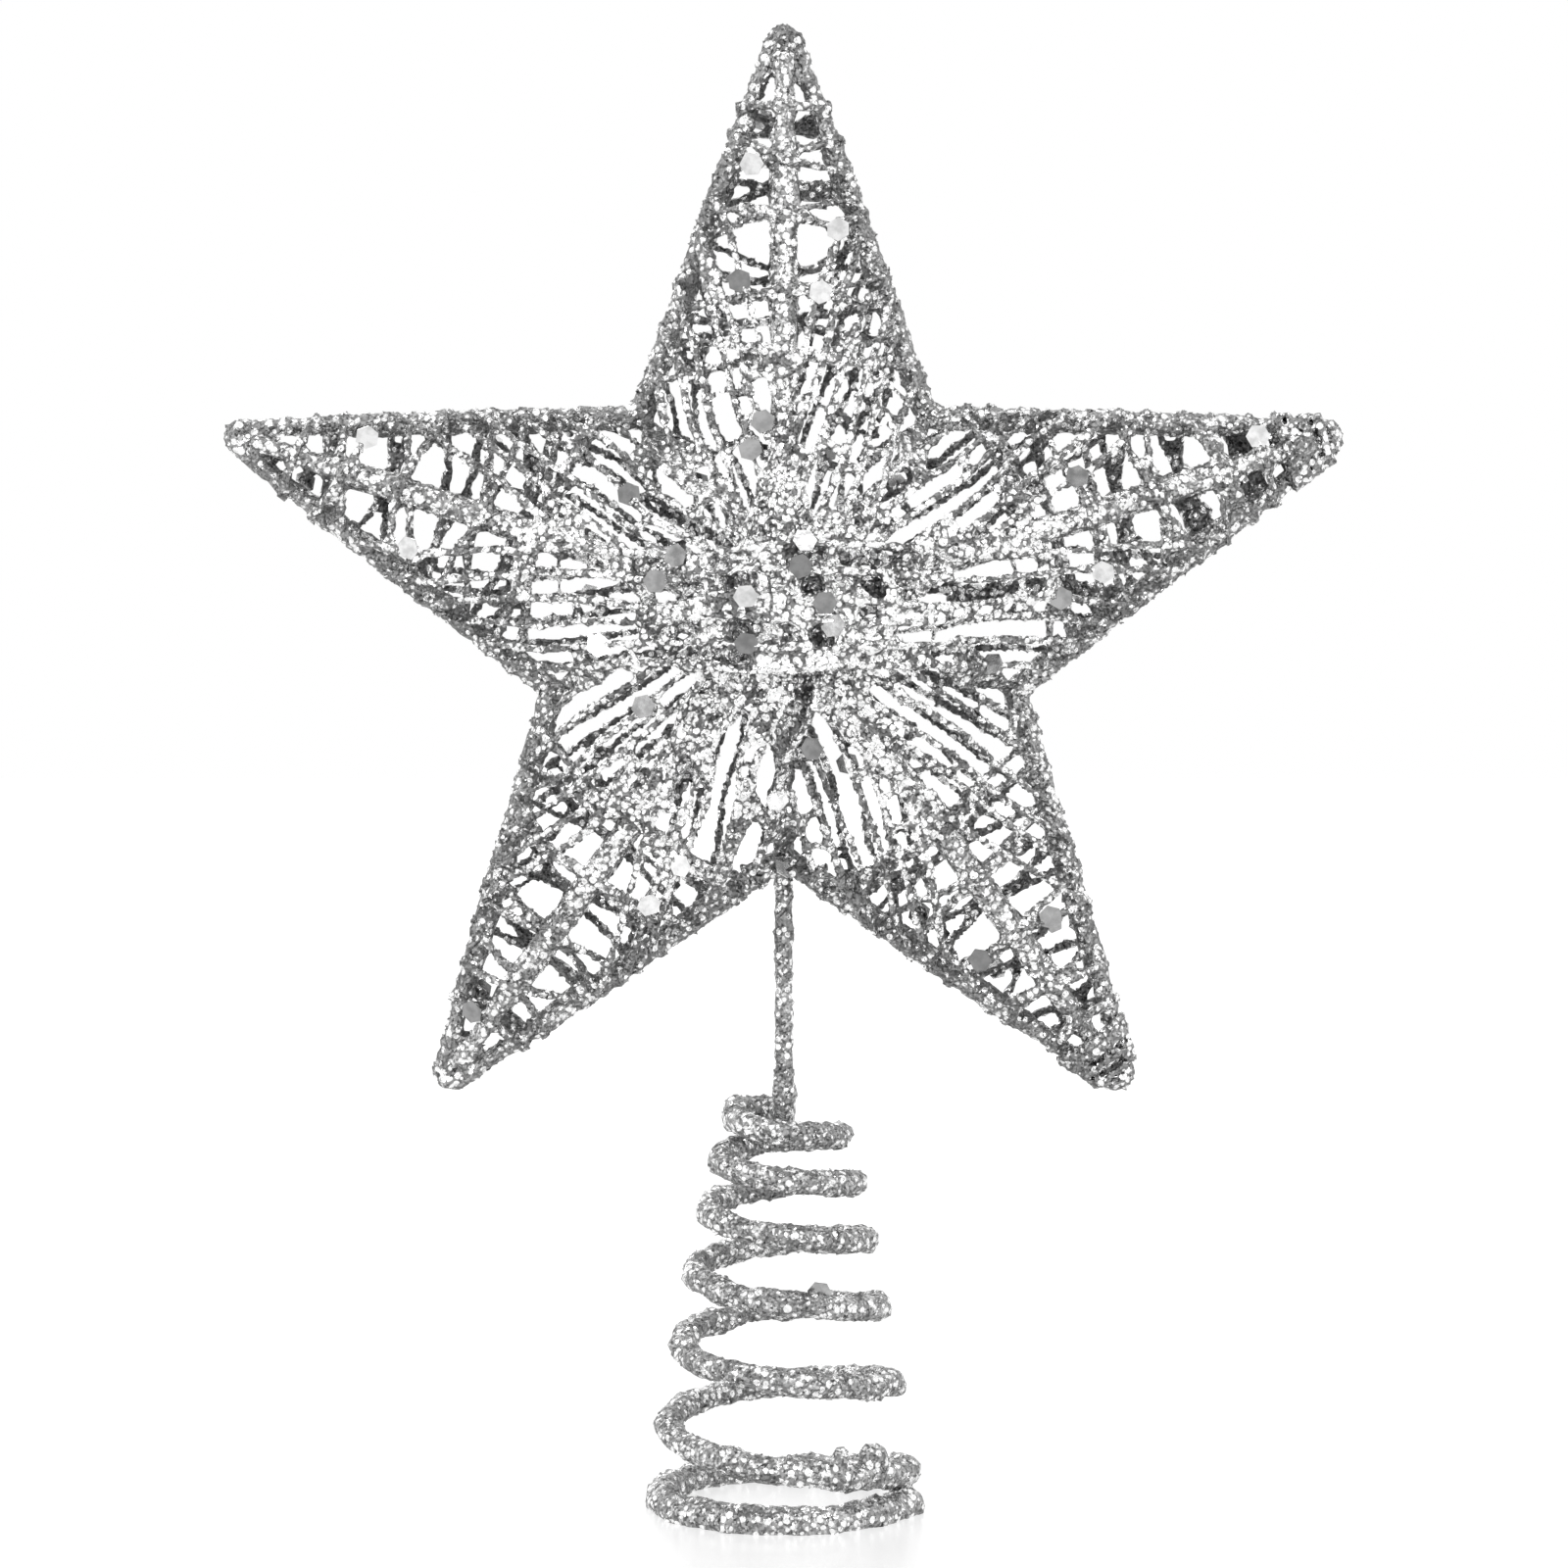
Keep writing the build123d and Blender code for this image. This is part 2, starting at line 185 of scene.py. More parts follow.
# Floor, sky and lamps
FLOOR_SIZE = 6.0
FLOOR_GRAIN = 40.0  # to a metre
FLOOR_TONES = [(0.0, 0.24), (1.0, 0.26)]
FLOOR_ROUGHNESS = 0.28
FLOOR_GLOW = 0.66  # brings it up to white
SKY_LIGHT = 0.5  # on the object
SKY_SHOWN = 1.0  # behind it
LAMPS = {  # place, side and power
    "key": ((0.55, -0.80, 0.75), 0.35, 4.0),
    "fill": ((-0.80, -0.65, 0.45), 0.40, 2.4),
    "back": ((-0.20, 0.85, 0.70), 0.50, 2.4),
}

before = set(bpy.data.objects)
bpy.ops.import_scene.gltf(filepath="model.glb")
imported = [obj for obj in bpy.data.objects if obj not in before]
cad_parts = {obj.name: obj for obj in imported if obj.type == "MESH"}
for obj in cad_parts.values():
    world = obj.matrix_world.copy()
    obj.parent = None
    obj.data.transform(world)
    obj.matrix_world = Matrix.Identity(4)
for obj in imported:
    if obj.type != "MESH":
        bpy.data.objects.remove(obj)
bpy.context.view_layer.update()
scene = bpy.context.scene
random = np.random.default_rng(2412)


# Small helpers for shader nodes


def new_material(name):
    material = bpy.data.materials.new(name)
    material.use_nodes = True
    tree = material.node_tree
    return material, tree, tree.nodes["Principled BSDF"]


def input_of(node, key):
    """A node's enabled input of that name, or its input of that number."""
    if isinstance(key, int):
        return node.inputs[key]
    return next(socket for socket in node.inputs if socket.name == key and socket.enabled)


def add_node(tree, kind, inputs=None, **settings):
    """A node with its settings, and its inputs given as constants or as other nodes' outputs."""
    node = tree.nodes.new(kind)
    for key, value in settings.items():
        setattr(node, key, value)
    for key, value in (inputs or {}).items():
        if isinstance(value, bpy.types.NodeSocket):
            tree.links.new(value, input_of(node, key))
        else:
            input_of(node, key).default_value = value
    return node


def worked_out(tree, operation, *values):
    """A sum or other result of numbers and outputs."""
    inputs = dict(enumerate(values))
    return add_node(tree, "ShaderNodeMath", inputs, operation=operation).outputs["Value"]


def product(tree, first, second):
    return worked_out(tree, "MULTIPLY", first, second)


def vector_of(tree, operation, inputs):
    return add_node(tree, "ShaderNodeVectorMath", inputs, operation=operation).outputs["Vector"]


def mapped(tree, value, source, target):
    """A value brought from one range to another, and kept within it."""
    inputs = {
        "Value": value,
        "From Min": source[0],
        "From Max": source[1],
        "To Min": target[0],
        "To Max": target[1],
    }
    return add_node(tree, "ShaderNodeMapRange", inputs).outputs["Result"]


def mixed(tree, factor, first, second, blend="MIX"):
    """Two colours mixed, or with another blend."""
    inputs = {"Factor": factor, "A": first, "B": second}
    return add_node(tree, "ShaderNodeMix", inputs, data_type="RGBA", blend_type=blend).outputs["Result"]


def grey_ramp(tree, factor, tones):
    """A ramp of greys given as (position, brightness) pairs."""
    ramp = add_node(tree, "ShaderNodeValToRGB", {"Fac": factor})
    stops = ramp.color_ramp.elements
    while len(stops) < len(tones):
        stops.new(0.5)
    for stop, (position, tone) in zip(stops, tones):
        stop.position = position
        stop.color = (tone, tone, tone, 1)
    return ramp.outputs["Color"]


# Materials


def painted_net_shade(tree, coordinates):
    """1 on faces turned out to the star's front or back, and less on those turned in to its hollow:
    painted shade.
    """
    place = add_node(tree, "ShaderNodeSeparateXYZ", {"Vector": coordinates["Object"]})
    turn = add_node(tree, "ShaderNodeSeparateXYZ", {"Vector": coordinates["Normal"]})
    side = mapped(tree, place.outputs["Y"], (-HOLLOW, HOLLOW), (-1.0, 1.0))
    out = product(tree, side, turn.outputs["Y"])
    return mapped(tree, out, TURNED_RANGE, (INNER_SHADE, 1.0))


def painted_peak_highlight(tree, coordinates):
    """How many times as many bright flakes lie at a place, by its distance from the middle plane: a
    painted highlight towards the star's peaks.
    """
    place = add_node(tree, "ShaderNodeSeparateXYZ", {"Vector": coordinates["Object"]})
    depth = worked_out(tree, "ABSOLUTE", place.outputs["Y"])
    return mapped(tree, depth, (PEAK_START, PEAK_END), (1.0, PEAK_HIGHLIGHT_SHARE))


def by_peak(tree, peak_highlight, change):
    """1 in the star's middle plane, and more or less towards its peaks."""
    return worked_out(tree, "MULTIPLY_ADD", peak_highlight, change, 1 - change)


def tilted_normal(tree, colour):
    """The surface's normal, tilted by a grain's own colour."""
    middle = vector_of(tree, "SUBTRACT", {0: colour, 1: (0.5, 0.5, 0.5)})
    tilt = vector_of(tree, "SCALE", {0: middle, "Scale": GRAIN_TILT})
    normal = add_node(tree, "ShaderNodeNewGeometry").outputs["Normal"]
    tilted = vector_of(tree, "ADD", {0: normal, 1: tilt})
    return vector_of(tree, "NORMALIZE", {0: tilted})


def glitter_material(name, tones, bright_share, hollow=False):
    """Silver glitter: fine grey grains, each with a tilt of its own, and round bright flakes on them.

    The bright ones lie thicker in patches. On a hollow net, its inner faces get painted shade, darker
    with fewer bright flakes, and its peaks a painted highlight, more and wider bright flakes on darker
    grains.
    """
    material, tree, shader = new_material(name)
    coordinates = add_node(tree, "ShaderNodeTexCoord").outputs
    place = coordinates["Object"]
    grains = add_node(tree, "ShaderNodeTexVoronoi", {"Vector": place, "Scale": 1 / GRAIN_WIDTH}).outputs
    flakes = add_node(tree, "ShaderNodeTexVoronoi", {"Vector": place, "Scale": 1 / FLAKE_SPACING}).outputs
    noise = {"Vector": place, "Scale": 1 / PATCH_WIDTH, "Detail": 1.0}
    patches = add_node(tree, "ShaderNodeTexNoise", noise).outputs["Fac"]
    grain = add_node(tree, "ShaderNodeSeparateColor", {"Color": grains["Color"]}).outputs
    flake = add_node(tree, "ShaderNodeSeparateColor", {"Color": flakes["Color"]}).outputs
    tone = grey_ramp(tree, grain["Red"], tones)
    matrix = mixed(tree, 1.0, tone, grey_ramp(tree, patches, PATCH_TONES), "MULTIPLY")
    radius = mapped(tree, flake["Green"], (0.0, 1.0), FLAKE_RADII)
    shown = mapped(tree, patches, PATCH_RANGE, (bright_share - PATCH_SWING, bright_share + PATCH_SWING))
    if hollow:
        # Painted shade on the inner faces of the hollow net, and painted highlight towards its peaks
        net_shade = painted_net_shade(tree, coordinates)
        peak_highlight = painted_peak_highlight(tree, coordinates)
        radius = product(tree, radius, by_peak(tree, peak_highlight, PEAK_WIDTH))
        shown = product(tree, product(tree, shown, net_shade), peak_highlight)
        light = product(tree, net_shade, by_peak(tree, peak_highlight, -PEAK_SHADE))
        matrix = mixed(tree, 1.0, matrix, light, "MULTIPLY")

    # A bright flake shows where its cell is chosen and the place is near the cell's middle
    inside = worked_out(tree, "SUBTRACT", radius, flakes["Distance"])
    disc = mapped(tree, inside, (-FLAKE_RIM, FLAKE_RIM), (0.0, 1.0))
    bright = product(tree, disc, worked_out(tree, "LESS_THAN", flake["Red"], shown))
    tree.links.new(mixed(tree, bright, matrix, (1, 1, 1, 1)), shader.inputs["Base Color"])
    gloss = mapped(tree, bright, (0.0, 1.0), (GRAIN_ROUGHNESS, FLAKE_ROUGHNESS))
    tree.links.new(gloss, shader.inputs["Roughness"])
    tree.links.new(tilted_normal(tree, grains["Color"]), shader.inputs["Normal"])
    shader.inputs["Metallic"].default_value = 1.0
    return material


def sequin_material(name, tones):
    """Metallised film, each sequin in a grey of its own with a faint wave in its surface."""
    material, tree, shader = new_material(name)
    island = add_node(tree, "ShaderNodeNewGeometry").outputs["Random Per Island"]
    place = add_node(tree, "ShaderNodeTexCoord").outputs["Object"]
    noise = {"Vector": place, "Scale": FILM_WAVES, "Detail": 2.0}
    wave = add_node(tree, "ShaderNodeTexNoise", noise).outputs["Fac"]
    stains = grey_ramp(tree, wave, FILM_STAINS)
    colour = mixed(tree, 1.0, grey_ramp(tree, island, tones), stains, "MULTIPLY")
    tree.links.new(colour, shader.inputs["Base Color"])
    bump = add_node(
        tree, "ShaderNodeBump", {"Height": wave, "Strength": FILM_BUMP, "Distance": FILM_DEPTH}
    )
    tree.links.new(bump.outputs["Normal"], shader.inputs["Normal"])
    tree.links.new(mapped(tree, wave, (0.0, 1.0), FILM_ROUGHNESS), shader.inputs["Roughness"])
    shader.inputs["Metallic"].default_value = 1.0
    return material


wire_glitter = glitter_material("wire_glitter", GRAIN_TONES, bright_share=0.60, hollow=True)
# The ridge wires get brighter tones and more bright flakes: a painted highlight along the ridges
ridge_highlight_glitter = glitter_material("ridge_highlight_glitter", RIDGE_HIGHLIGHT_TONES, bright_share=0.85, hollow=True)
cord_glitter = glitter_material("cord_glitter", GRAIN_TONES, bright_share=0.58, hollow=True)
coil_glitter = glitter_material("coil_glitter", COIL_TONES, bright_share=0.60)
sequin_film = sequin_material("sequin_film", SEQUIN_TONES)
coil_sequin_film = sequin_material("coil_sequin_film", COIL_SEQUIN_TONES)


# Coats of flakes


def new_object(name, mesh, material):
    made = bpy.data.objects.new(name, mesh)
    scene.collection.objects.link(made)
    mesh.materials.clear()
    mesh.materials.append(material)
    return made


def welded(node):
    """A copy of a CAD node's mesh, with its faces joined into one closed skin."""
    skin = bmesh.new()
    skin.from_mesh(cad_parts[node].data)
    bmesh.ops.remove_doubles(skin, verts=skin.verts, dist=WELD)
    bmesh.ops.recalc_face_normals(skin, faces=skin.faces)
    return skin


def islands(skin, longest=math.inf):
    """The corners of a skin in groups, joined by edges no longer than a given length."""
    groups = []
    for vert in skin.verts:
        vert.tag = False
    for first in skin.verts:
        if first.tag:
            continue
        first.tag = True
        group = [first]
        for vert in group:
            for edge in vert.link_edges:
                other = edge.other_vert(vert)
                if not other.tag and edge.calc_length() <= longest:
                    other.tag = True
                    group.append(other)
        groups.append(group)
    return groups


def middle_of(verts):
    return sum((vert.co for vert in verts), Vector()) / len(verts)


def waves(points, width):
    """Smooth unevenness between about -1 and 1 at each point, in swells of a given width."""
    ways = random.normal(size=(PLANE_WAVES, 3))
    ways *= 2 * math.pi / width / np.linalg.norm(ways, axis=1)[:, None]
    starts = random.uniform(0, 2 * math.pi, PLANE_WAVES)
    return np.sin(points @ ways.T + starts).sum(axis=1) * math.sqrt(2 / PLANE_WAVES) / USUAL_PEAK


def smooth(share):
    share = np.clip(share, 0, 1)
    return share * share * (3 - 2 * share)


def vectors(mesh, kind):
    """Every corner's place or normal, one a row."""
    flat = np.empty(3 * len(mesh.vertices))
    mesh.vertices.foreach_get(kind, flat)
    return flat.reshape(-1, 3)


def work_in(made):
    """Works an object's modifiers into its mesh."""
    old = made.data
    evaluated = made.evaluated_get(bpy.context.evaluated_depsgraph_get())
    made.data = bpy.data.meshes.new_from_object(evaluated)
    made.modifiers.clear()
    bpy.data.meshes.remove(old)
    made.data.name = made.name


def voxel_skin(name, skin, facet, material):
    """An object with the outer skin of a bmesh, remade in even facets."""
    mesh = bpy.data.meshes.new(name)
    skin.to_mesh(mesh)
    skin.free()
    made = new_object(name, mesh, material)
    remesh = made.modifiers.new("facets", "REMESH")
    remesh.mode = "VOXEL"
    remesh.voxel_size = facet
    remesh.adaptivity = 0.0
    work_in(made)
    made.data.materials.clear()
    made.data.materials.append(material)
    drop_crumbs(made)
    return made


def drop_crumbs(made):
    """Deletes the small loose bits of a skin."""
    skin = bmesh.new()
    skin.from_mesh(made.data)
    crumbs = [vert for island in islands(skin) if len(island) < SMALLEST_ISLAND for vert in island]
    bmesh.ops.delete(skin, geom=crumbs, context="VERTS")
    skin.to_mesh(made.data)
    skin.free()


def set_corners(made, places, facet):
    """Gives a skin its corners, each a little astray and some on a flake's edge, and flat facets."""
    flakes = random.uniform(*FLAKE_HEIGHTS, len(places)) * (random.random(len(places)) < FLAKE_SHARE)
    places = places + vectors(made.data, "normal") * flakes[:, None]
    places += random.uniform(-1, 1, places.shape) * FACET_JITTER * facet
    places[:, 2] = np.maximum(places[:, 2], 0)
    made.data.vertices.foreach_set("co", places.ravel())
    made.data.shade_flat()


def grow(skin, growth, uneven=0.0):
    """Pushes a skin outwards, each of its bends by an amount of its own."""
    skin.normal_update()
    moves = []
    for bend in islands(skin, BEND_LENGTH):
        push = growth * (1 + uneven * random.uniform(-1, 1))
        moves += [(vert, vert.normal * push * min(vert.calc_shell_factor(), MOST_SHELL)) for vert in bend]
    for vert, move in moves:
        vert.co += move


# Coats of the wires


def outline_tips():
    """The five points of the outline furthest from the star's middle, one in each fifth of a turn."""
    corners = vectors(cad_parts["outline_wire"].data, "co")
    turned = np.degrees(np.arctan2(corners[:, 0], corners[:, 2] - STAR_HEIGHT))
    reach = np.hypot(corners[:, 0], corners[:, 2] - STAR_HEIGHT)
    parts = np.round(turned / ARM_TURN).astype(int) % len(ARMS)
    return np.array([corners[parts == part][reach[parts == part].argmax()] for part in range(len(ARMS))])


def outline_notches():
    """The five inner corners of the outline, half way between its tips."""
    corners = vectors(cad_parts["outline_wire"].data, "co")
    reach = np.hypot(corners[:, 0], corners[:, 2] - STAR_HEIGHT).min()
    angles = np.radians(ARM_TURN * (np.arange(len(ARMS)) + 0.5))
    level = np.zeros(len(ARMS))
    return np.column_stack([reach * np.sin(angles), level, STAR_HEIGHT + reach * np.cos(angles)])


def wire_coat(node, growth, facet, material, bed=0.0):
    """A closed skin of uneven facets round a wire, thicker by its bed away from the star's tips."""
    skin = welded(node)
    grow(skin, growth)
    made = voxel_skin(node + "_coat", skin, facet, material)
    corners = vectors(made.data, "co")
    swell = LUMP_HEIGHT * waves(corners, LUMP_WIDTH)
    if bed:
        away = np.linalg.norm(corners[:, None, :] - tips[None, :, :], axis=2).min(axis=1)
        swell += bed * smooth((away - BARE_TIP) / BED_START)
    set_corners(made, corners + vectors(made.data, "normal") * swell[:, None], facet)
    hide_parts(node)
    return made


tips = outline_tips()
notches = outline_notches()
ridge_wires = [f"{side}_ridge_wire_{arm}" for side in ("front", "back") for arm in ARMS]
coats = [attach(wire_coat("outline_wire", WIRE_GROWTH, WIRE_FACET, wire_glitter, BED_GROWTH), "star")]
for node in ridge_wires:
    coat = wire_coat(node, WIRE_GROWTH, WIRE_FACET, ridge_highlight_glitter, RIDGE_BED_GROWTH)
    coats.append(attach(coat, "star"))
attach(wire_coat("stem_wire", WIRE_GROWTH, WIRE_FACET, coil_glitter), "star")


# The coil's coat, with its lumps


def on_node(node, pixel):
    """The place on a CAD node nearest to what a pixel of the picture shows, and its facing."""
    skin = welded(node)
    tree = BVHTree.FromBMesh(skin)
    skin.free()
    across = (pixel[0] - IMAGE_SIZE / 2) / FOCAL_PIXELS
    down = (pixel[1] - IMAGE_SIZE / 2) / FOCAL_PIXELS
    way = CAMERA_TURN @ Vector((across, -down, -1)).normalized()
    eye = Vector(CAMERA_PLACE)
    steps = np.linspace(CAMERA_DISTANCE - COIL_SPREAD, CAMERA_DISTANCE, SIGHT_STEPS)
    nearest = min((tree.find_nearest(eye + way * step) for step in steps), key=lambda found: found[3])
    return nearest[:2]


def coil_coat():
    """The coil's coat: lumpy, slimmer where it meets the stem, and flat under the foot."""
    skin = welded("coil_spring")
    grow(skin, COIL_GROWTH)
    for pixel, radius in COIL_LUMPS:
        place = on_node("coil_spring", pixel)[0] + Vector((0, 0, radius / 2))
        bmesh.ops.create_icosphere(skin, subdivisions=2, radius=radius, matrix=Matrix.Translation(place))
    made = voxel_skin("coil_spring_coat", skin, COIL_FACET, coil_glitter)
    corners = vectors(made.data, "co")
    swell = LUMP_HEIGHT * waves(corners, LUMP_WIDTH)
    swell += COIL_LUMP_HEIGHT * waves(corners, COIL_LUMP_WIDTH)
    swell += FOOT_GROWTH * smooth(1 - corners[:, 2] / FOOT_HEIGHT)
    moved = corners + vectors(made.data, "normal") * swell[:, None]
    top = corners[:, 2].max()
    lead = moved[corners[:, 2] > top - LEAD_LENGTH / 4, :2].mean(axis=0)
    near_lead = np.linalg.norm(moved[:, :2] - lead, axis=1) < LEAD_LENGTH / 2
    slim = np.where(near_lead, 1 - LEAD_TAPER * smooth((corners[:, 2] - top) / LEAD_LENGTH + 1), 1)
    moved[:, :2] = lead + (moved[:, :2] - lead) * slim[:, None]
    set_corners(made, moved, COIL_FACET)
    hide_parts("coil_spring")
    return made


def ride_coil(piece):
    """Bakes a piece's placement into its mesh; it is left unattached, still where it stands."""
    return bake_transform(piece)


ride_coil(coil_coat())


# Coats of the cords


def wire_places():
    """A search tree of the places on the star's wires."""
    places = np.vstack([vectors(made.data, "co") for made in coats])
    tree = KDTree(len(places))
    for number, place in enumerate(places):
        tree.insert(place, number)
    tree.balance()
    return tree


def wire_skins(nodes):
    """A search tree of the surfaces of some CAD wires."""
    skin = bmesh.new()
    for node in nodes:
        skin.from_mesh(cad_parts[node].data)
    tree = BVHTree.FromBMesh(skin)
    skin.free()
    return tree


def slide(skin, most):
    """Moves each bend of a cord along the wire that it goes round."""
    for bend in islands(skin, BEND_LENGTH):
        near = [place for place, _, _ in places_on_wires.find_range(middle_of(bend), WIRE_REACH)]
        step = random.uniform(-most, most)
        if len(near) > 2:
            cloud = np.array(near)
            way = np.linalg.svd(cloud - cloud.mean(axis=0), full_matrices=False)[2][0]
            for vert in bend:
                vert.co += Vector(way) * step


def pressed(points):
    """Points near a wire drawn in towards it, and those over a ridge kept close to it."""
    result = points.copy()
    for number, point in enumerate(points):
        spot, _, _, gap = skins_of_wires.find_nearest(Vector(point), PRESS_REACH)
        if spot is not None:
            share = PRESS + (1 - PRESS) * (gap / PRESS_REACH) ** 2
            result[number] = np.array(spot) + (point - np.array(spot)) * share
        spot, _, _, gap = skins_of_ridges.find_nearest(Vector(result[number]), RIDGE_REACH)
        if spot is not None:
            over = abs(result[number][1]) - abs(spot.y) - MOST_PROUD
            if over > 0:
                drop = over * (1 - PROUD_KEPT) * smooth((RIDGE_REACH - gap) / RIDGE_FADE)
                result[number][1] -= math.copysign(drop, result[number][1])
    return result


def outline_edges():
    """Each edge of the outline: its notch, directions along and outwards, length and coat's reach."""
    corners = vectors(coats[0].data, "co")
    centre = np.array([0, 0, STAR_HEIGHT])
    edges = []
    for tip in tips:
        for notch in sorted(notches, key=lambda place: np.linalg.norm(place - tip))[:2]:
            length = np.linalg.norm(tip - notch)
            along = (tip - notch) / length
            out = np.cross(along, (0, 1, 0))
            out *= np.sign(out @ (notch - centre))
            run, stand = (corners - notch) @ along, (corners - notch) @ out
            near = (run > EDGE_ENDS) & (run < length - EDGE_ENDS) & (abs(stand) < EDGE_REACH)
            edges.append((notch, along, out, length, np.quantile(stand[near], COAT_SHARE)))
    return edges


def drawn_in(points):
    """Points that stand out past the outline brought close to its wire."""
    result = points.copy()
    for notch, along, out, length, reach in edges_of_outline:
        run, stand = (points - notch) @ along, (points - notch) @ out
        over = np.maximum(stand - reach - OUTLINE_PROUD, 0)
        over[(run < EDGE_ENDS) | (run > length) | (stand > EDGE_REACH)] = 0
        result -= out * (over * (1 - PROUD_KEPT))[:, None]
    return result


def cord_coat(node, wound):
    """A closed skin of uneven facets round a cord, which is wound by hand where it is part of the net."""
    crossing = "cross" in node
    skin = welded(node)
    grow(skin, CROSS_GROWTH if crossing else CORD_GROWTH, UNEVEN)
    if wound:
        slide(skin, CROSS_SLIDE if crossing else ARM_SLIDE)
    made = voxel_skin(node + "_coat", skin, CORD_FACET, cord_glitter)
    corners = vectors(made.data, "co")
    moved = corners + vectors(made.data, "normal") * LUMP_HEIGHT * waves(corners, LUMP_WIDTH)[:, None]
    if wound:
        moved[:, 0] += SWAY * waves(corners, SWAY_WIDTH)
        moved[:, 2] += SWAY * waves(corners, SWAY_WIDTH)
        moved = pressed(moved)
    set_corners(made, drawn_in(moved), CORD_FACET)
    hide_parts(node)
    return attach(made, "star")


places_on_wires = wire_places()
edges_of_outline = outline_edges()
skins_of_wires = wire_skins(["outline_wire"] + ridge_wires)
skins_of_ridges = wire_skins(ridge_wires)
for node in sorted(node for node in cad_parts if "winding" in node):
    coats.append(cord_coat(node, wound=True))
for node in sorted(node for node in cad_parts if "binding" in node) + ["stem_lashing"]:
    cord_coat(node, wound=False)


# Webs of glue and flakes in the narrow gaps of the net


def web_reach(points):
    """Half of the widest gap that a web closes at each point."""
    away = np.hypot(points[:, 0], points[:, 2] - STAR_HEIGHT)
    from_notch = np.linalg.norm(points[:, None, :] - notches[None, :, :], axis=2).min(axis=1)
    reach = WEB_REACH + MIDDLE_REACH * smooth(1 - away / MIDDLE_SPREAD)
    reach += NOTCH_REACH * smooth(1 - from_notch / NOTCH_SPREAD)
    return reach + RIGHT_REACH * smooth((points[:, 0] - RIGHT_START) / RIGHT_SPREAD)


def rod(made, start, end, radius):
    """Adds a round rod from one place to another, as far again at each end as it is thick."""
    way = end - start
    turn = way.to_track_quat("Z", "Y").to_matrix().to_4x4()
    bmesh.ops.create_cone(
        made,
        cap_ends=True,
        segments=ROD_SIDES,
        radius1=radius,
        radius2=radius,
        depth=way.length + 2 * radius,
        matrix=Matrix.Translation((start + end) / 2) @ turn,
    )


def bridges(net):
    """Short bridges of glue, each from a run of cord across to the next one."""
    net.verts.ensure_lookup_table()
    made = bmesh.new()
    left = BRIDGES
    while left:
        vert = net.verts[int(random.integers(len(net.verts)))]
        radius = random.uniform(*BRIDGE_RADII)
        if math.hypot(vert.co.x, vert.co.z - STAR_HEIGHT) > BRIDGE_SPREAD:
            continue
        way = (vert.normal + Vector(random.normal(size=3)) * BRIDGE_STRAY).normalized()
        start = vert.co + way * BRIDGE_LENGTHS[0] / 4  # clear of the run's own coat
        spot, _, _, length = skins_of_coats.ray_cast(start, way, BRIDGE_LENGTHS[1])
        if spot is None or length < BRIDGE_LENGTHS[0]:
            continue
        rod(made, vert.co, spot, radius)
        left -= 1
    return made


def notch_fans(net):
    """Strings of glue that spread from each notch to the runs of cord further in."""
    places = np.array([vert.co for vert in net.verts])
    made = bmesh.new()
    for notch in notches:
        ways = (places - notch) * (1, 0, 1)
        lengths = np.linalg.norm(ways, axis=1)
        inwards = np.array([0, 0, STAR_HEIGHT]) - notch
        turned = np.arccos(np.clip(ways @ inwards / lengths / np.linalg.norm(inwards), -1, 1))
        near = (lengths > FAN_LENGTHS[0]) & (lengths < FAN_LENGTHS[1]) & (turned < FAN_SPREAD)
        for end in random.choice(places[near], FANS):
            rod(made, Vector(notch), Vector(end), random.uniform(*FAN_RADII))
    return made


def add_skin(net, skin):
    """Adds one bmesh to another."""
    mesh = bpy.data.meshes.new("added")
    skin.to_mesh(mesh)
    skin.free()
    net.from_mesh(mesh)
    bpy.data.meshes.remove(mesh)


def thin_out(made):
    """Gives a skin fewer facets, where it lies under the coats before elsewhere."""
    buried = made.vertex_groups.new(name="buried")
    for number, corner in enumerate(vectors(made.data, "co")):
        spot, facing, _, _ = skins_of_coats.find_nearest(Vector(corner))
        if (Vector(corner) - spot).dot(facing) < -BURIED:
            buried.add([number], 1.0, "REPLACE")
    thinner = made.modifiers.new("thinner", "DECIMATE")
    thinner.ratio = WEB_KEPT
    thinner.vertex_group = buried.name
    work_in(made)
    made.vertex_groups.clear()
    drop_crumbs(made)


def coats_net():
    """The coats of the star's wires and cords as one skin."""
    net = bmesh.new()
    for made in coats:
        net.from_mesh(made.data)
    net.normal_update()
    return net


def web_depth(made):
    """How far each corner of the grown webs is drawn in again, which is less where they are thin."""
    corners = vectors(made.data, "co")
    depth = web_reach(corners) + WEB_DEPTH
    solid = bmesh.new()
    solid.from_mesh(made.data)
    tree = BVHTree.FromBMesh(solid)
    solid.free()
    for number, (corner, normal) in enumerate(zip(corners, vectors(made.data, "normal"))):
        inwards = -Vector(normal)
        _, _, _, thickness = tree.ray_cast(Vector(corner) + inwards * SKIN_STEP, inwards)
        if thickness is not None:
            depth[number] = min(depth[number], thickness * (1 - THINNEST_WEB) / 2)
    return depth


def webs(net):
    """The net grown until its narrow gaps close, and drawn in again."""
    glue = [bridges(net), notch_fans(net)]
    for skin in glue:
        add_skin(net, skin)
    net.normal_update()
    reach = web_reach(np.array([vert.co for vert in net.verts]))
    for vert, push in zip(net.verts, reach):
        vert.co += vert.normal * push
    made = voxel_skin("glue_webs", net, WEB_FACET, cord_glitter)
    drawn = vectors(made.data, "co") - vectors(made.data, "normal") * web_depth(made)[:, None]
    made.data.vertices.foreach_set("co", drawn.ravel())
    thin_out(made)
    set_corners(made, vectors(made.data, "co"), WEB_FACET)
    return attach(made, "star")


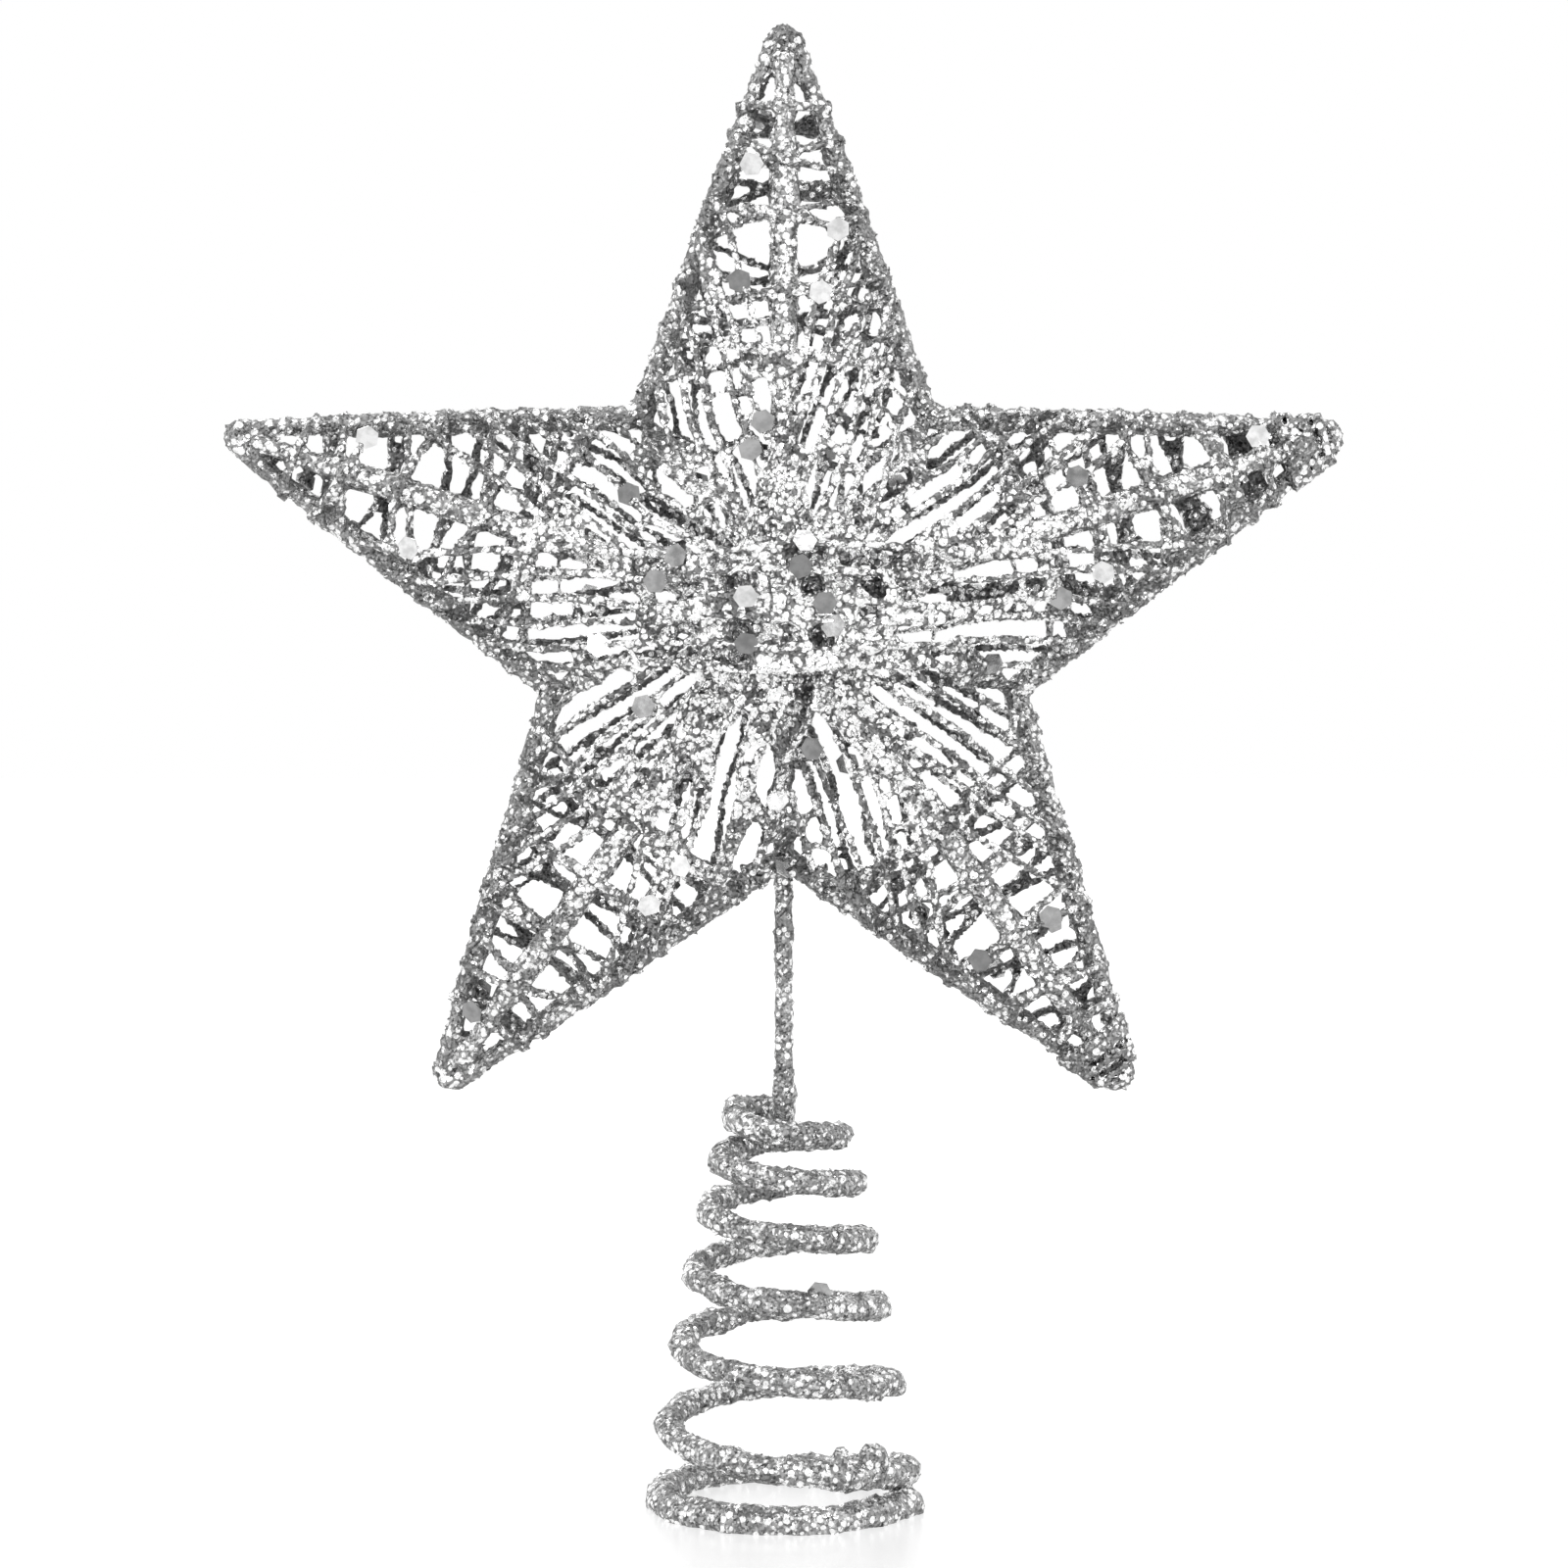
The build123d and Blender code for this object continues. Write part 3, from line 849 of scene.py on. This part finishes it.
net_of_coats = coats_net()
skins_of_coats = BVHTree.FromBMesh(net_of_coats)
webs(net_of_coats)


# Sequins


def sequin_seats(node, outward):
    """Where each sequin of a CAD node lies on the nearest coat, in front or behind."""
    skin = welded(node)
    lift = Vector((0, outward * SEQUIN_LIFT, 0))
    middles = [middle_of(island) for island in islands(skin)]
    seats = [skins_of_coats.find_nearest(middle + lift)[0] + lift for middle in middles]
    skin.free()
    return seats


def coil_seat(pixel):
    """Where a sequin lies on the coil's coat."""
    place, facing = on_node("coil_spring", pixel)
    return place + facing * (COIL_GROWTH + SEQUIN_LIFT)


def sequin_plates(name, seats, material):
    """Thin hexagons at given places on the coat, each tilted its own way."""
    plates = bmesh.new()
    for seat in seats:
        lean = Matrix.Rotation(random.uniform(-SEQUIN_TILT, SEQUIN_TILT), 4, "X")
        lean @= Matrix.Rotation(random.uniform(-SEQUIN_TILT, SEQUIN_TILT), 4, "Z")
        spin = Matrix.Rotation(random.uniform(0, math.pi), 4, "Y")
        stand = Matrix.Rotation(math.radians(90), 4, "X")
        place = Matrix.Translation(seat)
        bmesh.ops.create_cone(
            plates,
            cap_ends=True,
            segments=SEQUIN_SIDES,
            radius1=SEQUIN_WIDTH / 2,
            radius2=SEQUIN_WIDTH / 2,
            depth=SEQUIN_THICKNESS,
            matrix=place @ lean @ spin @ stand,
        )
    mesh = bpy.data.meshes.new(name)
    plates.to_mesh(mesh)
    plates.free()
    return new_object(name, mesh, material)


for node, outward in (("front_sequins", -1), ("back_sequins", 1)):
    plates = sequin_plates(node + "_plates", sequin_seats(node, outward), sequin_film)
    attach(plates, "star")
    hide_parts(node)
ride_coil(sequin_plates("coil_sequin", [coil_seat(COIL_SEQUIN)], coil_sequin_film))


# Floor, light and camera


def shown_rays(tree):
    """1 for the rays that show the background: the camera's own, and those in gloss or through glass."""
    rays = add_node(tree, "ShaderNodeLightPath").outputs
    seen = worked_out(tree, "MAXIMUM", rays["Is Camera Ray"], rays["Is Glossy Ray"])
    return worked_out(tree, "MAXIMUM", seen, rays["Is Transmission Ray"])


def floor_material():
    """Pale gloss that shows white and keeps the object's shadow and a faint reflection."""
    material, tree, shader = new_material("pale_floor")
    place = add_node(tree, "ShaderNodeTexCoord").outputs["Object"]
    grain = add_node(tree, "ShaderNodeTexNoise", {"Vector": place, "Scale": FLOOR_GRAIN})
    tree.links.new(grey_ramp(tree, grain.outputs["Fac"], FLOOR_TONES), shader.inputs["Base Color"])
    shader.inputs["Roughness"].default_value = FLOOR_ROUGHNESS
    shader.inputs["Emission Color"].default_value = (1, 1, 1, 1)
    glow = product(tree, shown_rays(tree), FLOOR_GLOW)
    tree.links.new(glow, shader.inputs["Emission Strength"])
    return material


floor_mesh = bpy.data.meshes.new("floor")
half = FLOOR_SIZE / 2
floor_corners = [(-half, -half, 0), (half, -half, 0), (half, half, 0), (-half, half, 0)]
floor_mesh.from_pydata(floor_corners, [], [(0, 1, 2, 3)])
new_object("floor", floor_mesh, floor_material())

world = bpy.data.worlds.new("studio")
scene.world = world
world.use_nodes = True
sky = world.node_tree.nodes["Background"]
sky.inputs["Color"].default_value = (1, 1, 1, 1)
strength = mapped(world.node_tree, shown_rays(world.node_tree), (0.0, 1.0), (SKY_LIGHT, SKY_SHOWN))
world.node_tree.links.new(strength, sky.inputs["Strength"])


def lamp(name, place, target, size, power):
    """A square soft lamp at a place, turned to a target."""
    light = bpy.data.lights.new(name, "AREA")
    light.size = size
    light.energy = power
    made = bpy.data.objects.new(name, light)
    made.location = place
    made.rotation_euler = (Vector(target) - Vector(place)).to_track_quat("-Z", "Y").to_euler()
    scene.collection.objects.link(made)


for name, (place, size, power) in LAMPS.items():
    lamp(name, place, (0, 0, STAR_HEIGHT), size, power)

camera = bpy.data.objects.new("camera", bpy.data.cameras.new("camera"))
camera.data.sensor_width = SENSOR
camera.data.lens = LENS
camera.data.clip_start = CLIP_START
camera.location = CAMERA_PLACE
camera.rotation_euler = CAMERA_TURN.to_euler()
scene.collection.objects.link(camera)
scene.camera = camera
scene.view_settings.view_transform = "Standard"
